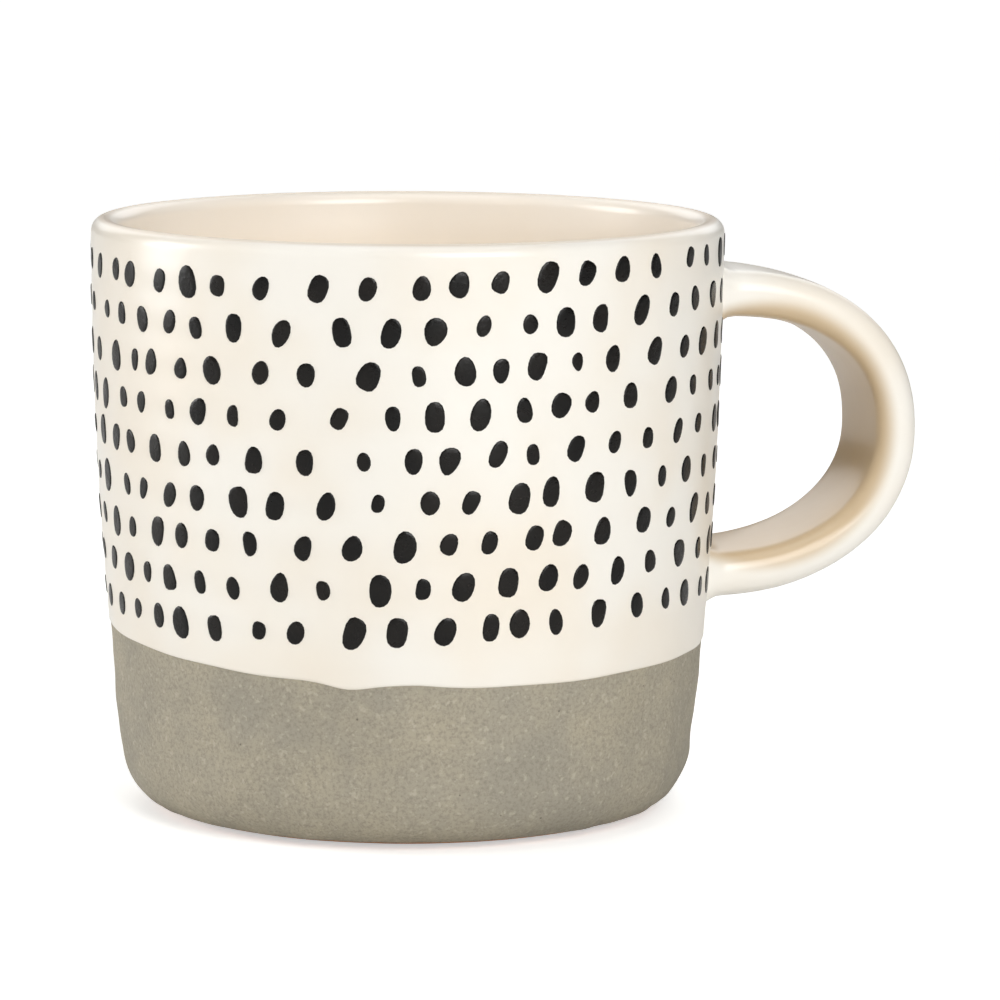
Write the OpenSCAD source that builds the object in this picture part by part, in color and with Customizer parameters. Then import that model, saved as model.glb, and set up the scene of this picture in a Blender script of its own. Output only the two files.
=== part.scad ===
// Hand-thrown stoneware mug with a strap handle, a grey dipped foot band and nine rows of
// raised black slip dots. Millimetres, +Z up, the handle points along +X and the origin is
// the centre of the flat ring that the mug stands on.

/* [Cup] */
// Height of the mug, from the table to the top of the lip
cup_height = 88.5; // [75:0.5:105]
// Outside radius of the cup just under the lip
rim_radius = 47.1; // [42:0.1:54]
// Outside radius of the cup where the bottom corner ends
base_radius = 43; // [39:0.5:47]
// How far the wall bows out between the corner and the lip
wall_bow = 0.9; // [0:0.05:1.5]
// Radius of the rounded bottom corner
corner_radius = 9; // [6:0.5:12]
// Wall thickness at the lip, glaze included
lip_thickness = 4; // [3:0.1:5]
// Wall thickness just above the floor, glaze included
base_wall = 5; // [4:0.1:6.5]
// Thickness of the floor, glaze included
floor_thickness = 6.4; // [5:0.1:9]
// Radius of the inside corner between floor and wall
inner_corner = 10; // [6:0.5:14]
// Facets around the cup
cup_facets = 180; // [90:10:240]

/* [Foot] */
// How far the bare ring that the mug stands on is set in from where the corner begins
foot_setback = 0.6; // [0.4:0.1:2]
// Width of the bare ring that the mug stands on
foot_width = 5.9; // [4:0.1:8]
// Depth of the turned hollow inside the foot ring
foot_hollow = 1.6; // [0.8:0.1:2.2]
// Height above the table where the grey coat stops
bare_edge = 1; // [0.8:0.1:1.6]

/* [Glaze] */
// Thickness of every glaze coat
glaze_coat = 0.4; // [0.3:0.05:0.6]
// Height of the dip line between the grey band and the cream glaze, on the cup axis
band_height = 26.6; // [20:0.1:28]
// Tilt of the dip line, in degrees
band_tilt = 2.6; // [0:0.1:3]
// Direction in which the dip line falls, in degrees round from the handle
band_heading = -63; // [-180:1:180]

/* [Handle] */
// Width of the strap, glaze included
strap_width = 22; // [14:0.5:27]
// Thickness of the strap, glaze included
strap_thickness = 6.7; // [6:0.1:9]
// Radius of the strap's long edges
strap_edge = 2.8; // [2:0.1:3.2]
// Distance from the top of the lip down to the middle of the upper root
upper_drop = 11.7; // [9:0.1:16]
// Distance between the middles of the two roots
root_spacing = 42.5; // [36:0.1:48]
// How far the strap's centre line stands out past the lip
handle_stand_off = 26.9; // [22:0.1:30]
// Thickness of the slip that joins each strap end to the wall
slip_joint = 0.8; // [0.6:0.1:1.2]

/* [Dots] */
// Distance from the dip line up to the lowest row of dots
row_margin = 7; // [6:0.1:12]
// Distance from the top of the lip down to the highest row of dots
lip_margin = 5.3; // [4.5:0.1:8]
// Dots in a full row
dots_per_row = 43; // [24:1:44]
// Mean width of a dot
dot_width = 2.65; // [2:0.05:3.2]
// Mean length of a dot, up the wall
dot_length = 3.85; // [3:0.05:4.4]
// Mean lean of the dots, in degrees, tops towards the handle when it is on the right
mean_lean = 8; // [-10:1:20]
// How far the dots bunch up round the cup, in degrees
dot_bunching = 1.6; // [0:0.1:2]
// How far a row of dots wanders up and down round the cup
row_wander = 1.5; // [0:0.1:1.8]
// How far a dot stands proud of the glaze
dot_rise = 0.32; // [0.2:0.02:0.5]
// How far each dot is bedded into the glaze
dot_bed = 0.012; // [0.005:0.001:0.02]
// Gap kept between a dot and a handle root
root_gap = 1.2; // [0.8:0.1:3]

/* [Hidden] */

clay_colour = "#c99a78";
slip_colour = "#b98d6d";
cream_colour = "#f3ecdf";
liner_colour = "#e4d6be";
grey_colour = "#9c9684";
dot_colour = "#2b2826";

row_count = 9;
first_row = band_height + row_margin;
last_row = cup_height - lip_margin;
row_pitch = (last_row - first_row) / (row_count - 1);
lip_radius = lip_thickness / 2;
lip_z = cup_height - lip_radius;
lip_centre = rim_radius - lip_radius;
wall_run = lip_z - corner_radius;
inner_corner_z = floor_thickness + inner_corner;
inner_base = wall_radius(inner_corner_z) - base_wall;
corner_centre = base_radius - corner_radius;
foot_outer = corner_centre - foot_setback;
foot_inner = foot_outer - foot_width;
upper_root = cup_height - upper_drop;
lower_root = upper_root - root_spacing;
loop_bend = root_spacing / 2;
loop_z = upper_root - loop_bend;
loop_x = rim_radius + handle_stand_off - loop_bend;
root_sink = 3;
lead_start = wall_radius(lower_root) - root_sink;
arc_steps = 12;
edge_steps = 5;
dot_facets = 16;
wall_steps = 12;

// Outside radius of the glazed wall at a height: a straight taper with a gentle bow.
function wall_share(z) = (z - corner_radius) / wall_run;
function wall_radius(z) =
    base_radius + (rim_radius - base_radius) * wall_share(z)
    + 4 * wall_bow * wall_share(z) * (1 - wall_share(z));

// Inside radius of the glazed wall at a height; the wall thins towards the lip.
function inner_share(z) = (z - inner_corner_z) / (lip_z - inner_corner_z);
function inner_radius(z) =
    wall_radius(z) - base_wall + (base_wall - lip_thickness) * inner_share(z);

// Points of an arc, from one angle to another.
function arc(cx, cz, r, from, to, steps = arc_steps) =
    [for (i = [0 : steps])
        let (a = from + (to - from) * i / steps)
        [cx + r * cos(a), cz + r * sin(a)]];

// Outline of the cup wall from the bottom corner up to the lip, set in by a coat.
function outside_points(inset) =
    concat(arc(corner_centre, corner_radius, corner_radius - inset, -90, 0),
           [for (i = [1 : wall_steps])
               let (z = corner_radius + wall_run * i / wall_steps)
               [wall_radius(z) - inset, z]]);

// Outline of the inside from the lip down to the middle of the floor, set out by a coat.
function inside_points(inset) =
    concat([for (i = [0 : wall_steps])
               let (z = lip_z + (inner_corner_z - lip_z) * i / wall_steps)
               [inner_radius(z) + inset, z]],
           arc(inner_base - inner_corner, inner_corner_z, inner_corner + inset, 0, -90),
           [[0, floor_thickness - inset]]);

// A repeatable scatter from -1 to 1 for dot number n of a row.
function scatter(n, row, kind) =
    let (s = sin(n * 127.1 + row * 311.7 + kind * 74.7) * 437.585)
    2 * (s - floor(s)) - 1;

// Half cross-section of the cup, with every glazed face set in by a coat.
module cup_section(inset) {
    polygon(concat([[0, inset]],
                   outside_points(inset),
                   arc(lip_centre, lip_z, lip_radius - inset, 0, 180),
                   inside_points(inset)));
}

// Half cross-section of the thin skin that all the glaze of the cup makes together.
module glaze_section() {
    difference() {
        cup_section(0);
        cup_section(glaze_coat);
    }
}

// The side of the wall's middle line that the liner glaze covers.
module liner_side() {
    polygon([[-1, floor_thickness / 2],
             [corner_centre, floor_thickness / 2],
             [inner_base + base_wall / 2, inner_corner_z],
             [lip_centre, lip_z],
             [lip_centre, cup_height + 1],
             [-1, cup_height + 1]]);
}

// Solid of revolution that fills the cup out to its glazed wall, plus a given allowance.
module cup_filler(allowance) {
    rotate_extrude($fn = cup_facets)
        polygon(concat([[0, -1], [corner_centre, -1]],
                       outside_points(-allowance),
                       [[rim_radius + allowance, cup_height + 1], [0, cup_height + 1]]));
}

// Everything above the dip line, as a block tilted with the line.
module above_dip_line() {
    translate([0, 0, band_height])
        rotate([0, band_tilt, band_heading])
            translate([0, 0, cup_height])
                cube([4 * rim_radius, 4 * rim_radius, 2 * cup_height], center = true);
}

// Flat cross-section of the strap: a rounded rectangle set in by a coat, x across the thickness.
module strap_section(inset) {
    x = strap_thickness / 2 - strap_edge;
    y = strap_width / 2 - strap_edge;
    r = strap_edge - inset;
    polygon(concat(arc(x, y, r, 0, 90, edge_steps),
                   arc(-x, y, r, 90, 180, edge_steps),
                   arc(-x, -y, r, 180, 270, edge_steps),
                   arc(x, -y, r, 270, 360, edge_steps)));
}

// Flat cross-section of the glaze around the strap.
module strap_skin_section() {
    difference() {
        strap_section(0);
        strap_section(glaze_coat);
    }
}

// The strap's two straight ends, run into the wall; the cross-section is the child.
module strap_ends() {
    for (z = [upper_root, lower_root])
        translate([lead_start, 0, z])
            rotate([0, 90, 0])
                linear_extrude(loop_x - lead_start)
                    children();
}

// The strap outside the cup, stopped at an allowance from its glaze; the cross-section is
// the child.
module strap_outside(allowance) {
    translate([loop_x, 0, loop_z])
        rotate([90, 0, 0])
            rotate([0, 0, -90])
                rotate_extrude(angle = 180, $fn = 96)
                    translate([loop_bend, 0])
                        children();
    difference() {
        strap_ends()
            children();
        cup_filler(allowance);
    }
}

// The slip between one strap end and the clay wall; side is 1 for the upper root.
module slip_joint_at(side) {
    intersection() {
        difference() {
            strap_ends()
                strap_section(glaze_coat);
            cup_filler(-glaze_coat);
        }
        cup_filler(slip_joint - glaze_coat);
        translate([0, -strap_width, loop_z + (side - 1) * cup_height / 2])
            cube([2 * rim_radius, 2 * strap_width, cup_height / 2]);
    }
}

// Outline of a dot: an oval that is fuller at one end.
function oval_points(width, length) =
    [for (a = [0 : 360 / dot_facets : 359])
        [width / 2 * cos(a) * (1 - 0.12 * sin(a)), length / 2 * sin(a)]];

// One raised dot: a flat-topped oval, its base in the XY plane.
module dot(width, length) {
    linear_extrude(dot_rise + dot_bed)
        polygon(oval_points(width, length));
}

// Hand-trailed dots bunch up and spread out round the cup: the angle that nominal angle a
// ends up at.
function spread(a) = a + dot_bunching * sin(5 * (a + 120));

// How far each row sits round from the one below: about half a step, with a slow drift.
function row_shift(row) = 0.05 * row + (row % 2 == 1 ? 0.3 : -0.2);

// Height of a row at an angle: every row wanders a little as it goes round.
function row_wave(angle) =
    row_wander * (sin(angle + 95) + sin(2 * (angle + 80))) / 2;

// Whether a dot at this place stays clear of both handle roots.
function clear_of_roots(angle, z) =
    let (side = abs(wall_radius(z) * sin(angle)) - strap_width / 2 - dot_width / 2,
         up = min(abs(z - upper_root), abs(z - lower_root)) - strap_thickness / 2 - dot_length / 2)
    cos(angle) < 0 || side > root_gap || up > root_gap;

// One row of dots around the wall, counted from the bottom; the rows are staggered.
module dot_row(row) {
    step = 360 / dots_per_row;
    for (n = [0 : dots_per_row - 1]) {
        angle = spread(step * (n + row_shift(row))) + 1.2 * scatter(n, row, 1);
        z = first_row + row_pitch * (row - 1) + row_wave(angle) + 0.3 * scatter(n, row, 2);
        size = 0.22 * scatter(n, row, 3);
        lean = mean_lean + 18 * scatter(n, row, 4);
        if (clear_of_roots(angle, z))
            rotate([0, 0, angle])
                translate([wall_radius(z) - dot_bed, 0, z])
                    rotate([0, 90, 0])
                        rotate([0, 0, 90 - lean])
                            dot(dot_width * (1 + size + 0.12 * scatter(n, row, 5)),
                                dot_length * (1 + size + 0.12 * scatter(n, row, 6)));
    }
}

module cup_body() {
    color(clay_colour)
        rotate_extrude($fn = cup_facets)
            difference() {
                union() {
                    cup_section(glaze_coat);
                    square([foot_outer, floor_thickness / 2]);
                }
                polygon([[-1, -1], [foot_inner, -1], [foot_inner, 0],
                         [foot_inner - foot_hollow, foot_hollow], [-1, foot_hollow]]);
            }
}

module handle_strap() {
    color(clay_colour)
        strap_outside(slip_joint - glaze_coat)
            strap_section(glaze_coat);
}

module upper_slip_joint() {
    color(slip_colour)
        slip_joint_at(1);
}

module lower_slip_joint() {
    color(slip_colour)
        slip_joint_at(0);
}

module liner_glaze() {
    color(liner_colour)
        rotate_extrude($fn = cup_facets)
            intersection() {
                glaze_section();
                liner_side();
            }
}

module outside_glaze() {
    rotate_extrude($fn = cup_facets)
        difference() {
            glaze_section();
            liner_side();
            translate([-1, -1])
                square([base_radius + 2, bare_edge + 1]);
        }
}

module outer_glaze() {
    color(cream_colour)
        difference() {
            intersection() {
                outside_glaze();
                above_dip_line();
            }
            strap_ends()
                strap_section(glaze_coat);
        }
}

module band_glaze() {
    color(grey_colour)
        difference() {
            outside_glaze();
            above_dip_line();
        }
}

module handle_glaze() {
    color(cream_colour)
        strap_outside(0)
            strap_skin_section();
}

module dot_row_1() { color(dot_colour) dot_row(1); }
module dot_row_2() { color(dot_colour) dot_row(2); }
module dot_row_3() { color(dot_colour) dot_row(3); }
module dot_row_4() { color(dot_colour) dot_row(4); }
module dot_row_5() { color(dot_colour) dot_row(5); }
module dot_row_6() { color(dot_colour) dot_row(6); }
module dot_row_7() { color(dot_colour) dot_row(7); }
module dot_row_8() { color(dot_colour) dot_row(8); }
module dot_row_9() { color(dot_colour) dot_row(9); }

cup_body();
handle_strap();
upper_slip_joint();
lower_slip_joint();
liner_glaze();
outer_glaze();
band_glaze();
handle_glaze();
dot_row_1();
dot_row_2();
dot_row_3();
dot_row_4();
dot_row_5();
dot_row_6();
dot_row_7();
dot_row_8();
dot_row_9();
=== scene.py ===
"""A hand-thrown stoneware mug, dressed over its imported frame.

The cup, its glaze coats, the strap handle and the trailed dots are each modelled as their own
piece. All lengths are in metres; MM lets sizes be written the way a potter measures them.
"""

import logging
import math
import random
from dataclasses import dataclass, field
from enum import Enum
from typing import Callable, Sequence

import bmesh
import bpy
from mathutils import Matrix, Vector, noise


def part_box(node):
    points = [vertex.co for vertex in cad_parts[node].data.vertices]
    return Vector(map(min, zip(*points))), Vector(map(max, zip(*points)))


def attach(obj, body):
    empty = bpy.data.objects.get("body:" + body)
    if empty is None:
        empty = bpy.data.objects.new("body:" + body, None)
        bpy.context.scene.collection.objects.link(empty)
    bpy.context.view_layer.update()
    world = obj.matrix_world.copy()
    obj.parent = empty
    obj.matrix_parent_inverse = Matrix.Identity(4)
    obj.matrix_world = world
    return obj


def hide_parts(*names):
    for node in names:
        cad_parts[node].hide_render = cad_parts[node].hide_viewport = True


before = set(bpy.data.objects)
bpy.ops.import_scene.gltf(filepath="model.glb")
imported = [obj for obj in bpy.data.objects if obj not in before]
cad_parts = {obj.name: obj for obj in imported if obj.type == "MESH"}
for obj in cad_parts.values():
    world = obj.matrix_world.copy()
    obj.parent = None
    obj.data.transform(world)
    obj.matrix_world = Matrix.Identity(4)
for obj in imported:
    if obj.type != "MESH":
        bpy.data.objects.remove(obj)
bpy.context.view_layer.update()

log = logging.getLogger("mug")

MM = 0.001
MERGE_DISTANCE = 2e-6
BODY = "root"
Point2 = tuple[float, float]
Socket = bpy.types.NodeSocket
Inputs = dict[str | int, object]


# ---------------------------------------------------------------- colour and node helpers


def linear(code: str) -> tuple[float, float, float, float]:
    """Turn an sRGB hex colour into linear light.

    Args:
        code: Six hex digits after a hash sign.

    Returns:
        Red, green, blue and an alpha of 1.
    """
    shares = [int(code[i : i + 2], 16) / 255 for i in (1, 3, 5)]
    light = [s / 12.92 if s <= 0.04045 else ((s + 0.055) / 1.055) ** 2.4 for s in shares]
    return (light[0], light[1], light[2], 1.0)


def fill(tree: bpy.types.NodeTree, node: bpy.types.Node, inputs: Inputs) -> None:
    """Fill a node's inputs.

    Args:
        tree: The node tree that holds the node.
        node: The node.
        inputs: Input names or numbers, each with a value or an output socket to link.
    """
    for name, value in inputs.items():
        if isinstance(value, Socket):
            tree.links.new(value, node.inputs[name])
        else:
            node.inputs[name].default_value = value


def add_node(
    tree: bpy.types.NodeTree, kind: str, inputs: Inputs | None = None, **settings: object
) -> bpy.types.Node:
    """Add one node with its settings, then fill its inputs.

    Args:
        tree: The node tree that gets the node.
        kind: The node's type name.
        inputs: Input names or numbers, each with a value or an output socket to link.
        **settings: Attributes to set on the node before its inputs are filled.

    Returns:
        The new node.
    """
    node = tree.nodes.new(kind)
    for name, value in settings.items():
        setattr(node, name, value)
    fill(tree, node, inputs or {})
    return node


def per_metre(wavelength: float) -> float:
    """Scale of a texture whose features are about one wavelength, in metres, apart."""
    return 1.0 / wavelength


def for_camera(tree: bpy.types.NodeTree, other: float, camera: float) -> Socket:
    """A value that differs between what the camera sees directly and all other light.

    Args:
        tree: The node tree.
        other: The value for all other light.
        camera: The value where the camera looks.

    Returns:
        The value.
    """
    seen = add_node(tree, "ShaderNodeLightPath").outputs["Is Camera Ray"]
    inputs = {"Value": seen, "To Min": other, "To Max": camera}
    return add_node(tree, "ShaderNodeMapRange", inputs).outputs["Result"]


# ---------------------------------------------------------------- finishes


@dataclass(frozen=True)
class Coat:
    """The nodes of one finish while it is laid: its tree, its shader and its coordinates."""

    tree: bpy.types.NodeTree
    shader: bpy.types.Node
    place: Socket

    def add(self, kind: str, inputs: Inputs, **settings: object) -> bpy.types.Node:
        """Add one node to the coat's tree."""
        return add_node(self.tree, kind, inputs, **settings)

    def feed(self, inputs: Inputs) -> None:
        """Fill inputs of the coat's own shader."""
        fill(self.tree, self.shader, inputs)

    def height(self) -> Socket:
        """Height above the foot, in metres."""
        return self.add("ShaderNodeSeparateXYZ", {"Vector": self.place}).outputs["Z"]

    def cloud(self, wavelength: float, detail: float = 2.0, roughness: float = 0.5) -> Socket:
        """Soft noise.

        Args:
            wavelength: Size of its features, in metres.
            detail: Octaves of finer detail.
            roughness: Strength of the finer detail.

        Returns:
            The noise value, from 0 to 1.
        """
        inputs = {
            "Vector": self.place,
            "Scale": per_metre(wavelength),
            "Detail": detail,
            "Roughness": roughness,
        }
        return self.add("ShaderNodeTexNoise", inputs).outputs["Fac"]

    def remap(self, value: Socket, source: Point2, target: Point2) -> Socket:
        """Stretch a value from one range to another, clamped.

        Args:
            value: The value to stretch.
            source: Lowest and highest value that comes in.
            target: Lowest and highest value that goes out.

        Returns:
            The stretched value.
        """
        inputs = {
            "Value": value,
            "From Min": source[0],
            "From Max": source[1],
            "To Min": target[0],
            "To Max": target[1],
        }
        node = self.add("ShaderNodeMapRange", inputs, interpolation_type="SMOOTHSTEP")
        return node.outputs["Result"]

    def blend(self, share: Socket | float, first: Socket | str, second: Socket | str) -> Socket:
        """Mix two colours.

        Args:
            share: How much of the second colour shows, from 0 to 1.
            first: The first colour, as hex or as a socket.
            second: The second colour, as hex or as a socket.

        Returns:
            The mixed colour.
        """
        colours = [linear(c) if isinstance(c, str) else c for c in (first, second)]
        inputs = {0: share, 6: colours[0], 7: colours[1]}
        return self.add("ShaderNodeMix", inputs, data_type="RGBA").outputs[2]

    def relief(
        self, height: Socket, depth: float, strength: float, under: Socket | None = None
    ) -> Socket:
        """Bump from a height, over an earlier bump if there is one.

        Args:
            height: Height from 0 to 1.
            depth: What a height of 1 stands for, in metres.
            strength: Share of the bump that shows.
            under: Normal from the earlier bump.

        Returns:
            The new normal.
        """
        inputs: Inputs = {"Height": height, "Distance": depth, "Strength": strength}
        if under is not None:
            inputs["Normal"] = under
        return self.add("ShaderNodeBump", inputs).outputs["Normal"]

    def specks(self, spacing: float, size: float, share: float) -> Socket:
        """Scattered round specks.

        Args:
            spacing: Mean distance between the cells that may hold a speck, in metres.
            size: Radius of a speck, in metres.
            share: Share of the cells that hold one.

        Returns:
            1 in a speck and 0 outside, with a soft edge.
        """
        scale = per_metre(spacing)
        cells = self.add("ShaderNodeTexVoronoi", {"Vector": self.place, "Scale": scale})
        reach = size / spacing
        disc = self.remap(cells.outputs["Distance"], (reach, 0.45 * reach), (0.0, 1.0))
        lottery = self.add("ShaderNodeSeparateColor", {"Color": cells.outputs["Color"]})
        inputs = {0: lottery.outputs["Red"], 1: share}
        drawn = self.add("ShaderNodeMath", inputs, operation="LESS_THAN").outputs[0]
        return self.add("ShaderNodeMath", {0: disc, 1: drawn}, operation="MULTIPLY").outputs[0]


@dataclass(frozen=True)
class Finish:
    """A procedural finish: subclasses lay down the colour, roughness and relief of one coat."""

    name: str
    slot: str

    def build(self) -> bpy.types.Material:
        """Make the material.

        Returns:
            A node material named for the real finish.
        """
        material = bpy.data.materials.new(self.name)
        material.use_nodes = True
        tree = material.node_tree
        tree.nodes.clear()
        shader = add_node(tree, "ShaderNodeBsdfPrincipled")
        output = add_node(tree, "ShaderNodeOutputMaterial")
        tree.links.new(shader.outputs["BSDF"], output.inputs["Surface"])
        place = add_node(tree, "ShaderNodeTexCoord").outputs["Object"]
        self.lay(Coat(tree, shader, place))
        return material

    def lay(self, coat: Coat) -> None:
        """Fill in the coat's shader; each finish does this in its own way."""
        raise NotImplementedError


@dataclass(frozen=True)
class DippedGlaze(Finish):
    """A stoneware glaze that thins where it runs over the crest of the lip and breaks tan."""

    break_colour: str = "#bfa37c"
    lip_top: float = 88.5 * MM
    break_depth: float = 0.35 * MM
    break_share: float = 0.6
    patch_size: float = 15 * MM

    def broken(self, coat: Coat, body: Socket) -> Socket:
        """Colour of the glaze, broken to tan along the crest of the lip.

        Args:
            coat: The nodes of the finish.
            body: The glaze's own colour.

        Returns:
            The colour with the tan break.
        """
        ends = (self.lip_top - self.break_depth, self.lip_top)
        crest = coat.remap(coat.height(), ends, (0.0, self.break_share))
        return coat.blend(crest, body, self.break_colour)

    def sheen_patches(self, coat: Coat, sheen: Point2) -> Socket:
        """Roughness that drifts from patch to patch between two values."""
        return coat.remap(coat.cloud(self.patch_size, 1.0), (0.2, 0.8), sheen)


@dataclass(frozen=True)
class SatinGlaze(DippedGlaze):
    """Opaque tin-white stoneware glaze, dipped: a soft wide sheen, faint warm and cool clouds
    where the coat is thicker, a slight orange-peel, and a tan break where it thins at the lip."""

    pale: str = "#f8f4eb"
    warm: str = "#f5ecdd"
    cloud_size: float = 26 * MM
    peel_size: float = 2.6 * MM
    sheen: Point2 = (0.29, 0.34)

    def tint(self, coat: Coat, body: Socket) -> Socket:
        """The plain glaze keeps its own colour everywhere."""
        return body

    def lay(self, coat: Coat) -> None:
        """Lay the clouded colour, the lip break, the sheen and the peel.

        Args:
            coat: The nodes of the finish.
        """
        clouds = coat.remap(coat.cloud(self.cloud_size), (0.35, 0.68), (0, 1))
        body = self.tint(coat, coat.blend(clouds, self.pale, self.warm))
        peel = coat.relief(coat.cloud(self.peel_size), 0.05 * MM, 0.5)
        coat.feed(
            {
                "Base Color": self.broken(coat, body),
                "Roughness": self.sheen_patches(coat, self.sheen),
                "Normal": coat.relief(coat.cloud(9 * MM), 0.12 * MM, 0.5, peel),
                "IOR": 1.5,
                "Coat Weight": 0.22,
                "Coat Roughness": 0.16,
            }
        )


@dataclass(frozen=True)
class StrapGlaze(SatinGlaze):
    """The cream glaze on the handle, with a warm, darker painted shade on the faces inside the
    loop.
    """

    painted_shade: str = "#cfb48a"
    loop_centre: Point2 = (52.8 * MM, 55.5 * MM)
    loop_shade_radius: Point2 = (18.6 * MM, 21.4 * MM)
    loop_shade_share: float = 0.85

    def tint(self, coat: Coat, body: Socket) -> Socket:
        """Paint a warm, darker shade on the faces close to the middle of the loop, where the loop
        shades its own inside.

        Args:
            coat: The nodes of the finish.
            body: The glaze's own colour.

        Returns:
            The colour, with painted shade inside the loop.
        """
        centre = (self.loop_centre[0], 0.0, self.loop_centre[1])
        upright = {0: coat.place, 1: (1.0, 0.0, 1.0)}
        flat = coat.add("ShaderNodeVectorMath", upright, operation="MULTIPLY").outputs["Vector"]
        ends = {0: flat, 1: centre}
        apart = coat.add("ShaderNodeVectorMath", ends, operation="DISTANCE").outputs["Value"]
        # painted shade: a warm, darker tan blended onto the inner faces of the loop
        loop_shade = coat.remap(apart, self.loop_shade_radius, (self.loop_shade_share, 0.0))
        return coat.blend(loop_shade, body, self.painted_shade)


@dataclass(frozen=True)
class LinerGlaze(DippedGlaze):
    """The same glaze poured inside: a little yellower and darker down the well, paling to the outer
    coat's cream as it meets it at the crest of the lip."""

    top: str = "#fdf5e9"
    deep: str = "#f8ebd8"
    fade: float = 14 * MM
    sheen: Point2 = (0.29, 0.33)

    def lay(self, coat: Coat) -> None:
        """Lay the depth gradient, its clouds, the sheen and the peel.

        Args:
            coat: The nodes of the finish.
        """
        well = (self.lip_top - 1 * MM, self.lip_top - self.fade)
        depth = coat.remap(coat.height(), well, (0.12, 0.85))
        clouds = coat.remap(coat.cloud(22 * MM), (0.3, 0.7), (-0.12, 0.12))
        sum_of = {0: depth, 1: clouds}
        share = coat.add("ShaderNodeMath", sum_of, operation="ADD", use_clamp=True).outputs[0]
        coat.feed(
            {
                "Base Color": self.broken(coat, coat.blend(share, self.top, self.deep)),
                "Roughness": self.sheen_patches(coat, self.sheen),
                "Normal": coat.relief(coat.cloud(3 * MM), 0.05 * MM, 0.5),
                "Coat Weight": 0.35,
                "Coat Roughness": 0.2,
            }
        )


@dataclass(frozen=True)
class GreyEngobe(Finish):
    """Grey clay slip dipped round the foot and fired without glaze: dry and matte, drifting
    between warm and cool grey, with fine sand grain and scattered dark and pale specks."""

    warm: str = "#b0a792"
    cool: str = "#a09a8b"
    dark_grain: str = "#8a8476"
    dark_speck: str = "#756f62"
    pale_speck: str = "#c2baa7"

    def lay(self, coat: Coat) -> None:
        """Lay the drifting grey, the grain, both kinds of speck and the dry relief.

        Args:
            coat: The nodes of the finish.
        """
        drift = coat.remap(coat.cloud(15 * MM, 4.0, 0.6), (0.3, 0.7), (0, 1))
        # Sand grain is about 0.2 mm; drawn at 0.5 mm so that it shows at arm's length.
        grain = coat.cloud(0.5 * MM, 4.0, 0.75)
        sand = coat.cloud(0.9 * MM, 2.0, 0.6)
        body = coat.blend(drift, self.warm, self.cool)
        body = coat.blend(coat.remap(grain, (0.42, 0.68), (0.0, 0.75)), body, self.dark_grain)
        body = coat.blend(coat.remap(sand, (0.56, 0.72), (0.0, 0.5)), body, self.pale_speck)
        body = coat.blend(coat.specks(2.1 * MM, 0.22 * MM, 0.12), body, self.dark_speck)
        presses = coat.relief(coat.cloud(11 * MM, 1.0), 0.9 * MM, 0.6)
        brush = coat.relief(coat.cloud(3.5 * MM, 3.0), 0.14 * MM, 0.6, presses)
        coat.feed(
            {
                "Base Color": body,
                "Roughness": coat.remap(drift, (0.0, 1.0), (0.62, 0.74)),
                "Normal": coat.relief(grain, 0.06 * MM, 0.7, brush),
                "Specular IOR Level": 0.4,
            }
        )


@dataclass(frozen=True)
class TrailedBlack(Finish):
    """Iron-black glaze trailed on in drops: glossy, with a slightly wrinkled skin that breaks
    up reflections and browner patches where the drop is thin."""

    deep: str = "#0d0c0b"
    thin: str = "#191613"
    sheen: Point2 = (0.22, 0.38)

    def lay(self, coat: Coat) -> None:
        """Lay the patched black, the gloss and the wrinkled skin.

        Args:
            coat: The nodes of the finish.
        """
        patch = coat.remap(coat.cloud(9 * MM), (0.35, 0.65), (0, 1))
        skin = coat.cloud(0.8 * MM, 3.0, 0.65)
        coat.feed(
            {
                "Base Color": coat.blend(patch, self.deep, self.thin),
                "Roughness": coat.remap(coat.cloud(2.2 * MM), (0.3, 0.7), self.sheen),
                "Normal": coat.relief(skin, 0.14 * MM, 0.6),
                "Specular IOR Level": 0.27,
            }
        )


@dataclass(frozen=True)
class BareStoneware(Finish):
    """Unglazed fired stoneware: toasted pinkish buff, dry, with fine grog and gritty relief."""

    toasted: str = "#c8926c"
    buff: str = "#dcae8a"
    grog: str = "#8d6347"

    def lay(self, coat: Coat) -> None:
        """Lay the toasted clay, its grog and its gritty relief.

        Args:
            coat: The nodes of the finish.
        """
        drift = coat.remap(coat.cloud(14 * MM, 3.0), (0.35, 0.65), (0, 1))
        body = coat.blend(drift, self.toasted, self.buff)
        coat.feed(
            {
                "Base Color": coat.blend(coat.specks(1.6 * MM, 0.24 * MM, 0.25), body, self.grog),
                "Normal": coat.relief(coat.cloud(0.5 * MM, 3.0, 0.7), 0.07 * MM, 0.8),
                "Roughness": 0.85,
                "Specular IOR Level": 0.25,
            }
        )


@dataclass(frozen=True)
class StudioPaper(Finish):
    """Seamless white paper, lifted a little to white where the camera sees it: flat, matte."""

    white: str = "#f6f5f3"
    lift: float = 0.50

    def lay(self, coat: Coat) -> None:
        """Lay the white, the tooth and the lift.

        Args:
            coat: The nodes of the finish.
        """
        coat.feed(
            {
                "Base Color": linear(self.white),
                "Normal": coat.relief(coat.cloud(4 * MM), 0.02 * MM, 0.2),
                "Roughness": 0.9,
                "Emission Strength": for_camera(coat.tree, 0.0, self.lift),
                "Emission Color": linear("#ffffff"),
            }
        )


# ---------------------------------------------------------------- modelling helpers


def start_alone() -> None:
    """Leave edit mode if needed and deselect every object."""
    if bpy.context.object and bpy.context.object.mode != "OBJECT":
        bpy.ops.object.mode_set(mode="OBJECT")
    bpy.ops.object.select_all(action="DESELECT")


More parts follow.
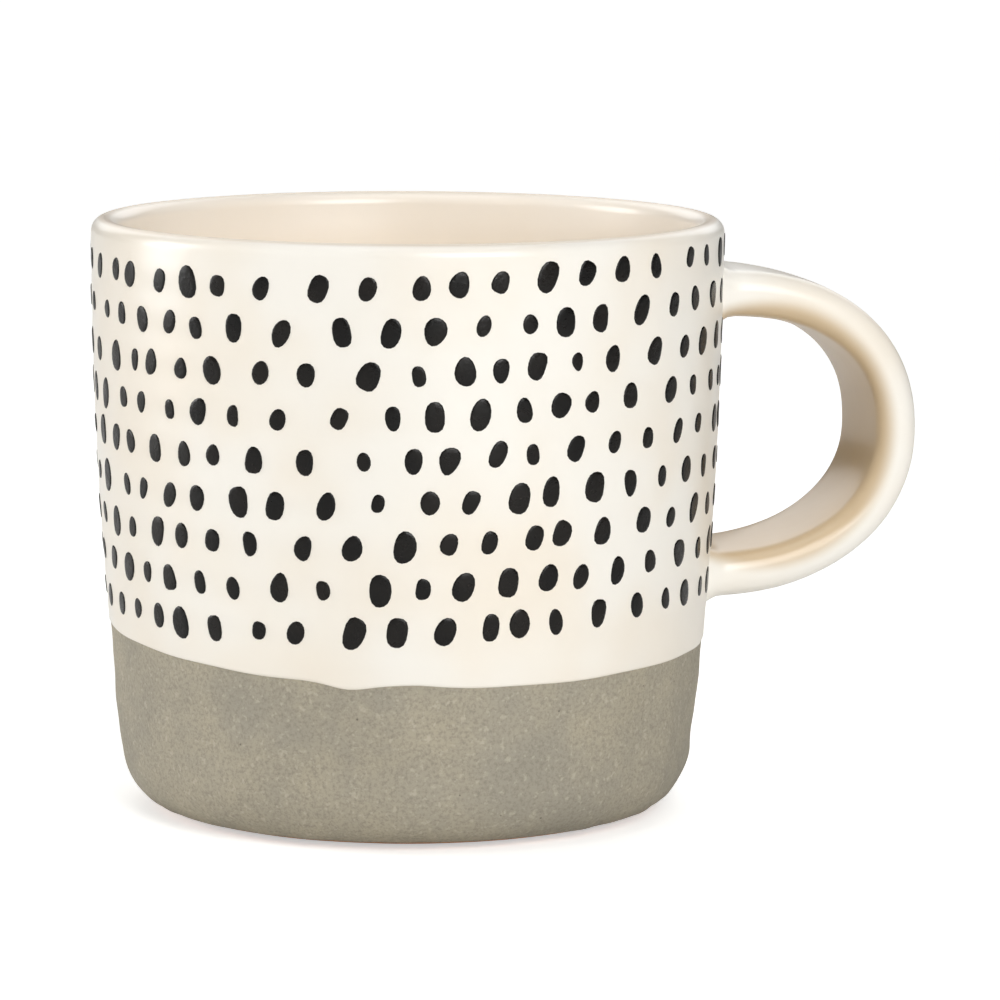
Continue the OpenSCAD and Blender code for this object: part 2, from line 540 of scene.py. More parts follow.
def close_up(piece: bpy.types.Object) -> None:
    """Merge a piece's doubled points, turn its faces outwards and return to object mode."""
    bpy.ops.mesh.select_all(action="SELECT")
    bpy.ops.mesh.remove_doubles(threshold=MERGE_DISTANCE)
    bpy.ops.mesh.normals_make_consistent(inside=False)
    bpy.ops.object.mode_set(mode="OBJECT")
    bpy.ops.object.shade_smooth()
    log.info("%s has %d faces", piece.name, len(piece.data.polygons))


def spin_outline(name: str, outline: Sequence[Point2], steps: int) -> bpy.types.Object:
    """Draw an outline from one extruded point, then spin it round the cup's axis.

    Args:
        name: Name of the piece.
        outline: Radius and height of each point; a ring-shaped piece repeats its first point
            at the end, and a solid one starts and ends on the axis.
        steps: How many steps make the full turn.

    Returns:
        The piece, closed, smooth and facing outwards.
    """
    start_alone()
    radius, height = outline[0]
    bpy.ops.mesh.primitive_plane_add(size=MM, location=(0, 0, 0))
    piece = bpy.context.object
    piece.name = name
    piece.data.name = name
    bpy.ops.object.mode_set(mode="EDIT")
    bpy.ops.mesh.select_mode(type="VERT")
    bpy.ops.mesh.select_all(action="SELECT")
    bpy.ops.mesh.merge(type="CENTER")
    bpy.ops.transform.translate(value=(radius, 0, height))
    for (r0, z0), (r1, z1) in zip(outline, outline[1:]):
        bpy.ops.mesh.extrude_region_move(
            TRANSFORM_OT_translate={"value": (r1 - r0, 0, z1 - z0)}
        )
    bpy.ops.mesh.select_all(action="SELECT")
    bpy.ops.mesh.spin(steps=steps, angle=math.tau, center=(0, 0, 0), axis=(0, 0, 1))
    close_up(piece)
    return piece


def loft_rings(name: str, rings: Sequence[Sequence[Vector]]) -> bpy.types.Object:
    """Extrude a first ring of points through all the others and cap both ends.

    Args:
        name: Name of the piece.
        rings: Rings of equally many points.

    Returns:
        The piece, closed, smooth and facing outwards.
    """
    start_alone()
    bpy.ops.mesh.primitive_circle_add(vertices=len(rings[0]), radius=MM)
    piece = bpy.context.object
    piece.name = name
    piece.data.name = name
    bpy.ops.object.mode_set(mode="EDIT")
    bpy.ops.mesh.select_mode(type="VERT")
    bpy.ops.mesh.select_all(action="SELECT")
    bpy.ops.mesh.edge_face_add()
    mesh = bmesh.from_edit_mesh(piece.data)
    loop = list(mesh.verts)
    for vert, point in zip(loop, rings[0]):
        vert.co = point
    for ring in rings[1:]:
        places = [vert.index for vert in loop]
        bpy.ops.mesh.extrude_region_move(TRANSFORM_OT_translate={"value": (0, 0, 0)})
        mesh = bmesh.from_edit_mesh(piece.data)
        mesh.verts.ensure_lookup_table()
        mesh.verts.index_update()
        by_place = {tuple(v.co): v for v in mesh.verts if v.select}
        loop = [by_place[tuple(mesh.verts[i].co)] for i in places]
        for vert, point in zip(loop, ring):
            vert.co = point
        bmesh.update_edit_mesh(piece.data)
    close_up(piece)
    return piece


def move_points(piece: bpy.types.Object, mover: Callable[[Vector], Vector]) -> None:
    """Move every point of a piece by a rule, as a hand presses soft clay.

    Args:
        piece: The piece to shape.
        mover: Gives a point's new place.
    """
    for vert in piece.data.vertices:
        vert.co = mover(vert.co)
    piece.data.update()


def dress(piece: bpy.types.Object, material: bpy.types.Material) -> None:
    """Give a piece its only material."""
    piece.data.materials.clear()
    piece.data.materials.append(material)


def stand_for(piece: bpy.types.Object, *nodes: str) -> None:
    """Fix a piece to the mug and let it stand for its nodes."""
    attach(piece, BODY)
    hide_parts(*nodes)


def arc_points(
    centre: Point2, radius: float, start: float, end: float, steps: int
) -> list[Point2]:
    """Points along an arc in the outline's plane.

    Args:
        centre: Radius and height of the arc's centre.
        radius: Radius of the arc.
        start: First angle, in degrees.
        end: Last angle, in degrees.
        steps: How many steps lie between them.

    Returns:
        One more point than there are steps.
    """
    angles = [math.radians(start + (end - start) * i / steps) for i in range(steps + 1)]
    return [
        (centre[0] + radius * math.cos(a), centre[1] + radius * math.sin(a)) for a in angles
    ]


def between(low: float, high: float, steps: int) -> list[float]:
    """Evenly spaced values from low to high, both included."""
    return [low + (high - low) * i / steps for i in range(steps + 1)]


def ease(value: float, low: float, high: float) -> float:
    """Smooth step from 0 at low to 1 at high."""
    share = min(1.0, max(0.0, (value - low) / (high - low)))
    return share * share * (3 - 2 * share)


def swell(value: float, centre: float, width: float) -> float:
    """A soft hump of height 1 round a centre."""
    return math.exp(-(((value - centre) / width) ** 2))


def turn_apart(first: float, second: float) -> float:
    """Signed angle from the second direction to the first, in degrees, within half a turn."""
    return (first - second + 180) % 360 - 180


# ---------------------------------------------------------------- the thrown form


@dataclass(frozen=True)
class ThrownForm:
    """The cup's shape: its outline, and how the potter's hands leave it a little uneven."""

    height: float
    rim_radius: float
    base_radius: float = 43.0 * MM
    bow: float = 0.9 * MM
    corner: float = 9.0 * MM
    lip: float = 4.0 * MM
    base_wall: float = 5.0 * MM
    floor: float = 6.4 * MM
    inner_corner: float = 10.0 * MM
    coat: float = 0.4 * MM
    engobe_drop: float = 0.2 * MM
    dip_height: float = 26.6 * MM
    dip_fall: float = 2.0 * MM
    dip_heading: float = -63.0

    @property
    def lip_z(self) -> float:
        """Height of the centre of the rounded lip."""
        return self.height - self.lip / 2

    @property
    def lip_centre(self) -> Point2:
        """Radius and height of the centre of the rounded lip."""
        return (self.rim_radius - self.lip / 2, self.lip_z)

    def outer(self, z: float) -> float:
        """Radius of the glazed outside at a height."""
        share = (min(z, self.lip_z) - self.corner) / (self.lip_z - self.corner)
        wall = self.base_radius + (self.rim_radius - self.base_radius) * share
        radius = wall + 4 * self.bow * share * (1 - share) if share > 0 else wall
        if z > self.lip_z:
            rise = min(z - self.lip_z, self.lip / 2)
            radius -= self.lip / 2 - math.sqrt((self.lip / 2) ** 2 - rise**2)
        return radius

    def inner(self, z: float) -> float:
        """Radius of the glazed inside at a height; the wall thins towards the lip."""
        low = self.floor + self.inner_corner
        share = (z - low) / (self.lip_z - low)
        return self.outer(z) - self.base_wall + (self.base_wall - self.lip) * share

    def dip(self, angle: float) -> float:
        """Height of the dip line at an angle round the cup.

        Args:
            angle: Angle round the axis from the handle, in degrees.

        Returns:
            The height where the cream coat ends, tilted by the hand and wavering.
        """
        turn = math.radians(angle)
        tilt = -self.dip_fall * math.cos(math.radians(angle - self.dip_heading))
        waver = (
            0.25
            + 0.30 * math.cos(2 * turn + 0.63)
            + 0.09 * math.sin(7 * turn + 1.9)
            + 0.06 * math.sin(17 * turn)
        )
        drip = 0.15 * swell(turn_apart(angle, -101), 0, 4) - 0.8 * swell(
            turn_apart(angle, -114), 0, 5
        )
        return self.dip_height + tilt + (waver + drip) * MM

    def hand(self, angle: float, z: float) -> float:
        """How far the hands left the wall from true round.

        Args:
            angle: Angle round the axis from the handle, in degrees.
            z: Height.

        Returns:
            Radial offset, in metres.
        """
        turn = math.radians(angle)
        oval = 0.08 * math.cos(2 * turn + 0.8) + 0.05 * math.cos(3 * turn + 2.0)
        rings = 0.035 * math.sin(math.tau * z / (6.1 * MM) + turn)
        spot = Vector((math.cos(turn) * 3.4, math.sin(turn) * 3.4, z / (19 * MM)))
        presses = 0.12 * noise.noise(spot)
        low = 1 - ease(z, 16 * MM, 32 * MM)
        thumb = Vector((math.cos(turn) * 5.2, math.sin(turn) * 5.2, z / (13 * MM) + 7))
        facets = 0.50 * noise.noise(thumb) * low
        return (oval * ease(z, 0, 30 * MM) + rings + presses + facets * ease(z, 0, 5 * MM)) * MM

    def press(self, point: Vector) -> Vector:
        """Move a point with the hands' unevenness, which runs through the wall."""
        radius = math.hypot(point.x, point.y)
        if radius < 20 * MM:
            return point
        angle = math.degrees(math.atan2(point.y, point.x))
        share = (radius + self.hand(angle, point.z) * ease(radius, 20 * MM, 38 * MM)) / radius
        return Vector((point.x * share, point.y * share, point.z))

    def surface(self, angle: float, z: float, lift: float) -> Vector:
        """A point a lift above the glazed outside.

        Args:
            angle: Angle round the axis from the handle, in degrees.
            z: Height.
            lift: Distance out from the glaze.

        Returns:
            The point.
        """
        radius = self.outer(z) + self.hand(angle, z) + lift
        turn = math.radians(angle)
        return Vector((radius * math.cos(turn), radius * math.sin(turn), z))


# ---------------------------------------------------------------- the cup and its coats


@dataclass
class Cup:
    """The thrown cup: clay body, liner glaze, outer glaze and the grey dipped band."""

    form: ThrownForm
    steps: int = 240
    hidden_steps: int = 160
    overlap: float = 1.0 * MM
    bare_edge: float = 0.9 * MM
    foot_outer: float = 33.4 * MM
    foot_inner: float = 27.5 * MM
    foot_round: float = 0.7 * MM
    hollow: float = 1.6 * MM
    tuck: float = 0.015 * MM
    bite: float = 0.05 * MM

    def clay_outline(self) -> list[Point2]:
        """Outline of the clay from the floor's middle over the lip and under the foot.

        Returns:
            Points from axis to axis.
        """
        form = self.form
        inset = form.coat
        low = form.floor + form.inner_corner
        corner_in = (form.inner(low) - form.inner_corner, low)
        corner_out = (form.base_radius - form.corner, form.corner)
        points = [(0.0, form.floor - inset)]
        points += arc_points(corner_in, form.inner_corner + inset, -90, 0, 10)
        points += [(form.inner(z) + inset, z) for z in between(low, form.lip_z, 24)[1:]]
        points += arc_points(form.lip_centre, form.lip / 2 - inset, 180, 0, 12)
        points += [
            (form.outer(z) - inset, z) for z in between(form.lip_z, form.corner, 30)[1:]
        ]
        points += arc_points(corner_out, form.corner - inset, 0, -84, 14)[1:]
        edge = self.foot_round
        points += arc_points((self.foot_outer - edge, edge), edge, 45, -90, 6)
        points += arc_points((self.foot_inner + edge, edge), edge, -90, -180, 4)
        points += [(self.foot_inner - 1.0 * MM, self.hollow * 0.8)]
        points += [(self.foot_inner - 3.0 * MM, self.hollow), (0.0, self.hollow + 0.3 * MM)]
        return points

    def build_clay(self) -> bpy.types.Object:
        """Model the clay body.

        Returns:
            The piece that stands for cup_body.
        """
        clay = spin_outline("thrown_clay_cup", self.clay_outline(), self.hidden_steps)
        move_points(clay, self.form.press)
        stand_for(clay, "cup_body")
        return clay

    def build_liner(self) -> bpy.types.Object:
        """Model the liner glaze, from the middle of the floor up to the crest of the lip.

        Returns:
            The piece that stands for liner_glaze.
        """
        form = self.form
        low = form.floor + form.inner_corner
        centre = (form.inner(low) - form.inner_corner, low)
        lip = form.lip / 2
        points = [(0.0, form.floor)]
        points += arc_points(centre, form.inner_corner, -90, 0, 18)
        points += [(form.inner(z), z) for z in between(low, form.lip_z, 60)[1:-1]]
        points += arc_points(form.lip_centre, lip - self.tuck, 180, 84, 14)
        deep = form.coat + self.bite
        points += arc_points(form.lip_centre, lip - deep, 84, 180, 10)
        points += [(form.inner(z) + deep, z) for z in between(form.lip_z, low, 24)[1:]]
        points += arc_points(centre, form.inner_corner + deep, 0, -90, 12)[1:]
        points += [(0.0, form.floor - deep)]
        liner = spin_outline("liner_glaze_coat", points, self.steps)
        move_points(liner, self.form.press)
        stand_for(liner, "liner_glaze")
        return liner

    def build_outer_glaze(self) -> bpy.types.Object:
        """Model the cream coat: from the crest of the lip down to its rolled edge.

        Returns:
            The piece that stands for outer_glaze.
        """
        form = self.form
        low = form.dip_height
        coat = form.coat + self.bite
        edge = [
            (form.outer(low) - coat, low + 0.10 * MM),
            (form.outer(low) - 0.24 * MM, low),
            (form.outer(low) - 0.08 * MM, low + 0.10 * MM),
            (form.outer(low) + 0.02 * MM, low + 0.32 * MM),
            (form.outer(low) + 0.03 * MM, low + 0.75 * MM),
        ]
        wall = [(form.outer(z), z) for z in between(low + 1.8 * MM, form.lip_z, 70)]
        over = arc_points(form.lip_centre, form.lip / 2, 0, 92, 16)[1:]
        back = arc_points(form.lip_centre, form.lip / 2 - coat, 92, 0, 10)
        down = [(form.outer(z) - coat, z) for z in between(form.lip_z, low + 1.8 * MM, 30)[1:]]
        outline = edge + wall + over + back + down + edge[:1]
        glaze = spin_outline("cream_glaze_coat", outline, self.steps)

        def settle(point: Vector) -> Vector:
            """Carry the coat's lower edge along the dip line, then press it with the wall."""
            angle = math.degrees(math.atan2(point.y, point.x))
            hold = 1 - ease(point.z, low + 1 * MM, low + 15 * MM)
            drop = (form.dip(angle) - low) * hold
            radius = math.hypot(point.x, point.y)
            if hold > 0 and radius > form.inner(low) + coat:
                moved = point.z + drop
                radius += form.outer(moved) - form.outer(point.z)
                turn = math.radians(angle)
                point = Vector((radius * math.cos(turn), radius * math.sin(turn), moved))
            return form.press(point)

        move_points(glaze, settle)
        stand_for(glaze, "outer_glaze")
        return glaze

    def build_band(self) -> bpy.types.Object:
        """Model the grey band, from its thin edge over bare clay up under the cream coat.

        Returns:
            The piece that stands for band_glaze.
        """
        form = self.form
        drop = form.engobe_drop
        centre = (form.base_radius - form.corner, form.corner)
        top = form.dip_height + self.overlap
        foot_angle = math.degrees(math.asin((self.bare_edge - form.corner) / form.corner))
        skin = form.corner - drop
        under = form.corner - form.coat - self.bite
        points = [(form.outer(top) - form.coat, top)]
        points += [(form.outer(z) - drop, z) for z in between(top - 0.2 * MM, form.corner, 46)]
        points += arc_points(centre, skin, 0, foot_angle + 2, 26)[1:]
        turn = math.radians(foot_angle)
        middle = (skin + under) / 2
        points.append((centre[0] + middle * math.cos(turn), centre[1] + middle * math.sin(turn)))
        points += arc_points(centre, under, foot_angle + 2, 0, 14)
        points += [
            (form.outer(z) - form.coat - self.bite, z)
            for z in between(form.corner, top - 0.2 * MM, 16)[1:]
        ]
        points += points[:1]
        band = spin_outline("grey_engobe_band", points, self.steps)

        def settle(point: Vector) -> Vector:
            """Carry the band's top along the dip line and let its foot edge waver."""
            angle = math.degrees(math.atan2(point.y, point.x))
            hold = ease(point.z, 8 * MM, form.dip_height)
            moved = point.z + (form.dip(angle) - form.dip_height) * hold
            radius = math.hypot(point.x, point.y)
            if point.z > form.corner:
                radius += form.outer(moved) - form.outer(point.z)
            turn = math.radians(angle)
            foot = 1 - ease(point.z, self.bare_edge, self.bare_edge + 2.5 * MM)
            creep = 0.5 * MM * noise.noise(Vector((math.cos(turn) * 9, math.sin(turn) * 9, 3.0)))
            radius += creep * foot
            return form.press(Vector((radius * math.cos(turn), radius * math.sin(turn), moved)))

        move_points(band, settle)
        stand_for(band, "band_glaze")
        return band


# ---------------------------------------------------------------- the handle


@dataclass
class Strap:
    """The pulled strap handle: a rounded strap bent into a loop and welded on at both ends."""

    form: ThrownForm
    reach: float
    upper_root: float
    lower_root: float
    width: float
    thickness: float
    edge: float = 2.8 * MM
    crown: float = 0.35 * MM
    slimming: float = 0.7 * MM
    upper_fullness: float = 2.25
    lower_fullness: float = 2.15
    fillet: float = 2.4 * MM
    fillet_spread: float = 0.9 * MM
    sunk: float = 1.2 * MM
    edge_steps: int = 8
    face_steps: int = 7
    ring_pitch: float = 0.95 * MM

    def loop_point(self, degrees: float) -> Vector:
        """A point of the loop's centre line, which is a full half-oval.

        Args:
            degrees: 90 at the upper root, 0 furthest out and -90 at the lower root.

        Returns:
            The point, in the handle's upright plane.
        """
        turn = math.radians(degrees)
        upper = degrees >= 0
        root = self.upper_root if upper else self.lower_root
        fullness = 2 / (self.upper_fullness if upper else self.lower_fullness)
        wall = self.wall_x(0, root)
        middle = (self.upper_root + self.lower_root) / 2
        along = max(math.cos(turn), 0.0) ** fullness
        rise = abs(math.sin(turn)) ** fullness
        return Vector((wall + (self.reach - wall) * along, 0, middle + (root - middle) * rise))

    def path(self) -> list[tuple[Vector, Vector]]:
        """Centre line of the strap from the upper root to the lower one, in even steps.

        Returns:
            Places in the handle's upright plane, each with the direction out of the loop.
        """
        fine = [self.loop_point(degrees) for degrees in between(90, -90, 720)]
        places = [fine[0]]
        for point in fine[1:-1]:
            if (point - places[-1]).length >= self.ring_pitch:
                places.append(point)
        places.append(fine[-1])
        stations = []
        for i, place in enumerate(places):
            along = (places[min(i + 1, len(places) - 1)] - places[max(i - 1, 0)]).normalized()
            stations.append((place, Vector((-along.z, 0, along.x))))
        return stations

    def section(self, width: float, thickness: float) -> list[Point2]:
        """Cross-section of the strap: gently crowned faces and well-rounded edges.

        Args:
            width: Size across the strap.
            thickness: Size through the strap.

        Returns:
            Offsets across and through the strap.
        """
        radius = min(self.edge, 0.46 * thickness)
        flat = width / 2 - radius
        rise = thickness / 2 - radius
        half = [
            point
            for side, start in ((1, 0), (-1, 90))
            for point in arc_points((side * flat, rise), radius, start, start + 90, self.edge_steps)
        ]
        middle = len(half) // 2
        face = [(x, thickness / 2) for x in between(flat, -flat, self.face_steps)[1:-1]]
        half = half[:middle] + face + half[middle:]
        crowned = [
            (x, z + self.crown * (1 - (2 * x / width) ** 2) - 0.5 * self.crown) for x, z in half
        ]
        return crowned + [(-x, -z) for x, z in crowned]

    def wall_x(self, y: float, z: float) -> float:
        """How far out the cup's wall lies at a side offset and a height."""
        angle = math.degrees(math.atan2(y, self.form.outer(z)))
        radius = self.form.outer(z) + self.form.hand(angle, z)
        return math.sqrt(max(radius * radius - y * y, 0.0))

    def rings(self, inset: float) -> list[list[Vector]]:
        """Every ring of the strap, with its ends spread and laid against the wall.

        Args:
            inset: How far inside the glaze the surface lies.

        Returns:
            Rings of points from the upper root to the lower one.
        """
        stations = self.path()
        rings = []
        count = len(stations)
        for i, (place, outward) in enumerate(stations):
            share = i / (count - 1)
            width = self.width - 2 * inset
            middle = math.sin(math.pi * share)
            thick = self.thickness + self.slimming * (0.3 - middle**2) - 2 * inset
            at_end = place.x - self.wall_x(0, place.z)
            spread = self.fillet_spread * (1 - ease(at_end, -0.5 * MM, self.fillet)) ** 2
            hug = 1 - ease(at_end, 0, self.fillet * 2)
            ring = []
            for across, through in self.section(width + 2 * spread, thick + 2 * spread):
                point = place + Vector((0, across, 0)) + outward * through
                wobble = 0.10 * MM * noise.noise(point * (1 / (9 * MM)))
                point += outward * wobble
                wall = self.wall_x(point.y, point.z)
                level = self.wall_x(0, place.z)
                point.x += (wall - level) * hug
                ring.append(point)
            rings.append(ring)
        ends = [[Vector(point) for point in ring] for ring in (rings[0], rings[-1])]
        for ring in ends:
            for point in ring:
                point.x = self.wall_x(point.y, point.z) - self.sunk + inset
        return [ends[0]] + rings + [ends[1]]

    def build(self, name: str, node: str, inset: float) -> bpy.types.Object:
        """Model one layer of the strap.

        Args:
            name: Name of the piece.
            node: The node that it stands for.
            inset: How far inside the glaze its surface lies.

        Returns:
            The piece.
        """
        piece = loft_rings(name, self.rings(inset))
        stand_for(piece, node)
        return piece


# ---------------------------------------------------------------- the trailed dots


@dataclass(frozen=True)
class DotPlace:
    """Where one dot sits on the wall, and its size."""

    angle: float
    height: float
    width: float
    length: float
    lean: float


@dataclass
class DotRows:
    """The trailed dots, one piece for each row round the cup."""

    form: ThrownForm
    rise: float = 0.15 * MM
    sunk: float = 0.12 * MM
    segments: int = 16
    shoulders: tuple[Point2, ...] = ((1.0, 0.15), (0.95, 0.62), (0.84, 0.90), (0.60, 1.0))

    def row_names(self) -> list[str]:
        """Names of the frame's dot rows, bottom to top."""
        return sorted(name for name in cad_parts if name.startswith("dot_row_"))

    def places(self, node: str) -> list[DotPlace]:
        """Read each dot's place and size from the frame.

        Args:
            node: Name of a dot row.

        Returns:
            The row's dots in order round the cup.
        """
        mesh = bmesh.new()
        mesh.from_mesh(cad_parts[node].data)
        bmesh.ops.remove_doubles(mesh, verts=mesh.verts, dist=MERGE_DISTANCE)
        unseen = set(mesh.verts)
        found = []
        while unseen:
            island = [unseen.pop()]
            for vert in island:
                for edge in vert.link_edges:
                    other = edge.other_vert(vert)
                    if other in unseen:
                        unseen.discard(other)
                        island.append(other)
            found.append(self.measure([vert.co.copy() for vert in island]))
        mesh.free()
        return sorted(found, key=lambda dot: dot.angle)

    def measure(self, points: Sequence[Vector]) -> DotPlace:
        """Fit an oval to the points of one dot.

        Args:
            points: The dot's points.

        Returns:
            Its place, size and lean.
        """
        centre = sum(points, Vector()) / len(points)
        angle = math.atan2(centre.y, centre.x)
        around = Vector((-math.sin(angle), math.cos(angle), 0))
        flat = [((p - centre).dot(around), p.z - centre.z) for p in points]
        count = len(flat)
        ss = sum(s * s for s, _ in flat) / count
        tt = sum(t * t for _, t in flat) / count
        st = sum(s * t for s, t in flat) / count
        lean = 0.5 * math.atan2(2 * st, tt - ss)
        spread = math.hypot((tt - ss) / 2, st)
        middle = (ss + tt) / 2
        return DotPlace(
            angle=math.degrees(angle),
            height=centre.z,
            width=2 * math.sqrt(2 * (middle - spread)),
            length=2 * math.sqrt(2 * (middle + spread)),
            lean=lean,
        )

    def model_drop(self) -> bpy.types.Mesh:
        """Model one unit drop: a disc extruded and drawn in to a flat top.

        Returns:
            The drop's mesh, of unit radius and unit rise.
        """
        start_alone()
        bpy.ops.mesh.primitive_circle_add(
            vertices=self.segments,
            radius=1.0,
            fill_type="NGON",
            location=(0, 0, -self.sunk / self.rise),
        )
        drop = bpy.context.object
        bpy.ops.object.mode_set(mode="EDIT")
        bpy.ops.mesh.select_all(action="SELECT")
        radius, height = 1.0, -self.sunk / self.rise
        for next_radius, next_height in self.shoulders:
            bpy.ops.mesh.extrude_region_move(
                TRANSFORM_OT_translate={"value": (0, 0, next_height - height)}
            )
            share = next_radius / radius
            bpy.ops.transform.resize(value=(share, share, 1), center_override=(0, 0, 0))
            radius, height = next_radius, next_height
        bpy.ops.mesh.select_all(action="SELECT")
        bpy.ops.mesh.normals_make_consistent(inside=False)
        bpy.ops.object.mode_set(mode="OBJECT")
        bpy.ops.object.transform_apply(location=True, rotation=False, scale=False)
        mesh = drop.data
        bpy.data.objects.remove(drop)
        return mesh

    def lay_drop(self, mesh: bpy.types.Mesh, dot: DotPlace, dice: random.Random) -> None:
        """Shape one copy of the drop and lay it on the wall.

        Args:
            mesh: The copy.
            dot: Where it goes.
            dice: The dot's own source of chance.
        """
        egg = dice.uniform(-0.10, 0.07)
        square = dice.uniform(-0.01, 0.05)
        lump = dice.uniform(0.0, 0.06)
        lump_turn = dice.uniform(0, math.tau)
        rise = self.rise * dice.uniform(0.85, 1.15)
        for vert in mesh.vertices:
            radius = math.hypot(vert.co.x, vert.co.y)
            turn = math.atan2(vert.co.y, vert.co.x)
            swollen = radius * (
                1
                - square * math.cos(4 * turn)
                + lump * math.cos(3 * turn + lump_turn)
            )
            across = swollen * math.cos(turn) * (1 + egg * math.sin(turn)) * dot.width / 2
            up = swollen * math.sin(turn) * dot.length / 2
            side = across * math.cos(dot.lean) + up * math.sin(dot.lean)
            tall = up * math.cos(dot.lean) - across * math.sin(dot.lean)
            z = dot.height + tall
            angle = dot.angle + math.degrees(side / self.form.outer(z))
            vert.co = self.form.surface(angle, z, vert.co.z * rise)

    def build(self) -> list[bpy.types.Object]:
        """Model every row.

        Returns:
            One piece for each dot row, bottom to top.
        """
        drop = self.model_drop()
        rows = []
        for row, node in enumerate(self.row_names(), 1):
            whole = bmesh.new()
            for number, dot in enumerate(self.places(node)):
                copy = drop.copy()
                self.lay_drop(copy, dot, random.Random(row * 1000 + number))
                whole.from_mesh(copy)
                bpy.data.meshes.remove(copy)
            mesh = bpy.data.meshes.new(f"trailed_dots_{row}")
            whole.to_mesh(mesh)
            whole.free()
            piece = bpy.data.objects.new(f"trailed_dots_{row}", mesh)
            bpy.context.scene.collection.objects.link(piece)
            mesh.shade_smooth()
            stand_for(piece, node)
            rows.append(piece)
            log.info("%s has %d faces", piece.name, len(mesh.polygons))
        bpy.data.meshes.remove(drop)
        return rows


# ---------------------------------------------------------------- the studio


class LightSide(Enum):
    """Where each soft light stands, as the camera sees it."""

    KEY = "key"
    FILL = "fill"
    WINDOW = "window"
    TOP = "top"
    WASH = "wash"


@dataclass(frozen=True)
class SoftLight:
    """One large soft light, aimed at the mug."""

    side: LightSide
    azimuth: float
    height: float
    distance: float
    size: Point2
    power: float
    colour: str = "#ffffff"


@dataclass
class Studio:
    """White paper, soft lights and the camera."""

    camera_azimuth: float = -13.0
    camera_distance: float = 0.800
    camera_height: float = 0.15905
    look_down: float = 0.140588
    look_aside: float = 0.017429
    roll: float = 0.004464
    lens: float = 193.72
    paper_radius: float = 4.0
    glow: float = 0.02
    lights: tuple[SoftLight, ...] = field(
        default_factory=lambda: (
            SoftLight(LightSide.KEY, 24, 0.85, 1.65, (0.95, 1.2), 24.0),
            SoftLight(LightSide.FILL, -35, 0.65, 1.9, (1.1, 1.3), 2.5),
            SoftLight(LightSide.WINDOW, -97, 0.35, 1.2, (0.5, 0.8), 8.5),
            SoftLight(LightSide.TOP, 0, 0.95, 0.12, (0.7, 0.7), 2.3),
            SoftLight(LightSide.WASH, 180, 1.8, 2.8, (4.5, 2.6), 52.0),
        )
    )

    def from_camera_side(self, azimuth: float) -> float:
        """Direction round the mug's axis, in radians, of an azimuth seen from the camera.

        Args:
            azimuth: Degrees to the right of the camera's own side.

        Returns:
            The angle from the handle's direction.
        """
        return math.radians(azimuth - 90 + self.camera_azimuth)

    def build_camera(self) -> bpy.types.Object:
        """Place the camera.

        Returns:
            The camera.
        """
        right = Vector((math.cos(self.look_aside), -math.sin(self.look_aside), 0))
        flat = Vector((math.sin(self.look_aside), math.cos(self.look_aside), 0))
        ahead = flat * math.cos(self.look_down) - Vector((0, 0, math.sin(self.look_down)))
        above = flat * math.sin(self.look_down) + Vector((0, 0, math.cos(self.look_down)))
        tilted = right * math.cos(self.roll) + above * math.sin(self.roll)
        above = above * math.cos(self.roll) - right * math.sin(self.roll)
        turn = Matrix.Rotation(math.radians(self.camera_azimuth), 3, "Z")
        axes = [turn @ v for v in (tilted, above, -ahead)]
        place = turn @ Vector((0, -self.camera_distance, self.camera_height))
        data = bpy.data.cameras.new("view")
        data.lens = self.lens
        data.sensor_width = 36
        data.clip_end = 20
        camera = bpy.data.objects.new("view", data)
        bpy.context.scene.collection.objects.link(camera)
        rows = [(axes[0][i], axes[1][i], axes[2][i], place[i]) for i in range(3)]
        camera.matrix_world = Matrix(rows + [(0, 0, 0, 1)])
        bpy.context.scene.camera = camera
        return camera

    def build_lights(self) -> None:
        """Hang the soft lights and set the room's even glow."""
        for light in self.lights:
            data = bpy.data.lights.new(f"{light.side.value}_light", "AREA")
            data.shape = "RECTANGLE"
            data.size, data.size_y = light.size
            data.energy = light.power
            data.color = linear(light.colour)[:3]
            lamp = bpy.data.objects.new(data.name, data)
            bpy.context.scene.collection.objects.link(lamp)
            turn = self.from_camera_side(light.azimuth)
            place = Vector(
                (light.distance * math.cos(turn), light.distance * math.sin(turn), light.height)
            )
            aim = Vector((0, 0, 0.05)) - place
            lamp.matrix_world = Matrix.Translation(place) @ aim.to_track_quat(
                "-Z", "Y"
            ).to_matrix().to_4x4()
        world = bpy.data.worlds.new("studio_glow")
        world.use_nodes = True
        tree = world.node_tree
        tree.nodes.clear()
        inputs = {"Color": linear("#ffffff"), "Strength": for_camera(tree, self.glow, 1.0)}
        glow = add_node(tree, "ShaderNodeBackground", inputs)
        output = add_node(tree, "ShaderNodeOutputWorld")
        tree.links.new(glow.outputs[0], output.inputs["Surface"])
        bpy.context.scene.world = world
        bpy.context.scene.view_settings.view_transform = "Standard"

    def build_floor(self, finish: Finish) -> bpy.types.Object:
        """Lay the paper that the mug stands on.

        Args:
            finish: The paper.

        Returns:
            The floor.
        """
        start_alone()
        bpy.ops.mesh.primitive_circle_add(
            vertices=96, radius=self.paper_radius, fill_type="NGON", location=(0, 0, 0)
        )
        floor = bpy.context.object
        floor.name = "paper_floor"
        floor.data.materials.append(finish.build())
        return floor


# ---------------------------------------------------------------- putting it together


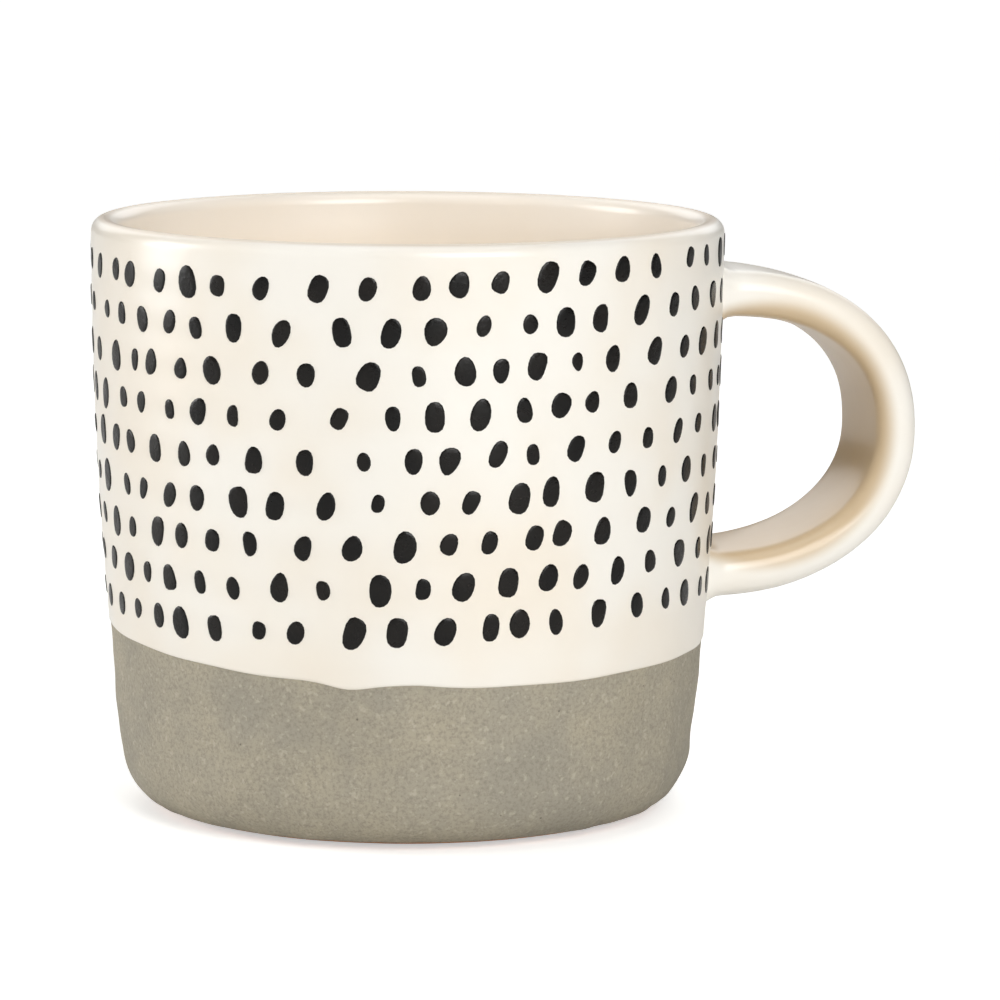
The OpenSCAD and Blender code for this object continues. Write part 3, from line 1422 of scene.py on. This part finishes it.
def main() -> None:
    """Build every piece in order."""
    logging.basicConfig(level=logging.INFO, format="%(name)s: %(message)s")
    studio = Studio()
    studio.build_camera()
    studio.build_lights()
    studio.build_floor(StudioPaper("white_backdrop_paper", ""))

    low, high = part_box("outer_glaze")
    form = ThrownForm(height=high.z, rim_radius=high.y)
    strap_low, strap_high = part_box("handle_glaze")
    upper_low, upper_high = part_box("upper_slip_joint")
    lower_low, lower_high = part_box("lower_slip_joint")
    thickness = upper_high.z - upper_low.z + 2 * form.coat

    cream = SatinGlaze("satin_white_stoneware_glaze", "cream_glaze")
    loop = StrapGlaze("satin_white_glaze_with_painted_loop_shade", "cream_glaze")
    liner = LinerGlaze("poured_liner_glaze", "liner_glaze")
    grey = GreyEngobe("dry_grey_engobe", "grey_engobe")
    black = TrailedBlack("trailed_iron_black_glaze", "black_dot_glaze")
    clay = BareStoneware("bare_toasted_stoneware", "stoneware_clay")
    slip = BareStoneware("fired_joining_slip", "joining_slip", toasted="#b9835f", buff="#c89a78")
    finishes = (cream, loop, liner, grey, black, clay, slip)
    materials = {finish.name: finish.build() for finish in finishes}

    cup = Cup(form)
    strap = Strap(
        form,
        reach=strap_high.x - thickness / 2,
        upper_root=(upper_low.z + upper_high.z) / 2,
        lower_root=(lower_low.z + lower_high.z) / 2,
        width=strap_high.y - strap_low.y,
        thickness=thickness,
    )
    dressed: list[tuple[bpy.types.Object, Finish]] = [
        (cup.build_clay(), clay),
        (cup.build_liner(), liner),
        (cup.build_outer_glaze(), cream),
        (cup.build_band(), grey),
        (strap.build("pulled_clay_strap", "handle_strap", form.coat), clay),
        (strap.build("strap_glaze_coat", "handle_glaze", 0.0), loop),
    ]
    dressed += [(row, black) for row in DotRows(form).build()]
    for piece, finish in dressed:
        dress(piece, materials[finish.name])
        log.info("%s wears %s", piece.name, finish.name)
    for node in ("upper_slip_joint", "lower_slip_joint"):
        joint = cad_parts[node]
        joint.data.materials.clear()
        joint.data.materials.append(materials[slip.name])
        log.info("%s wears %s", node, slip.name)


if __name__ == "__main__":
    main()
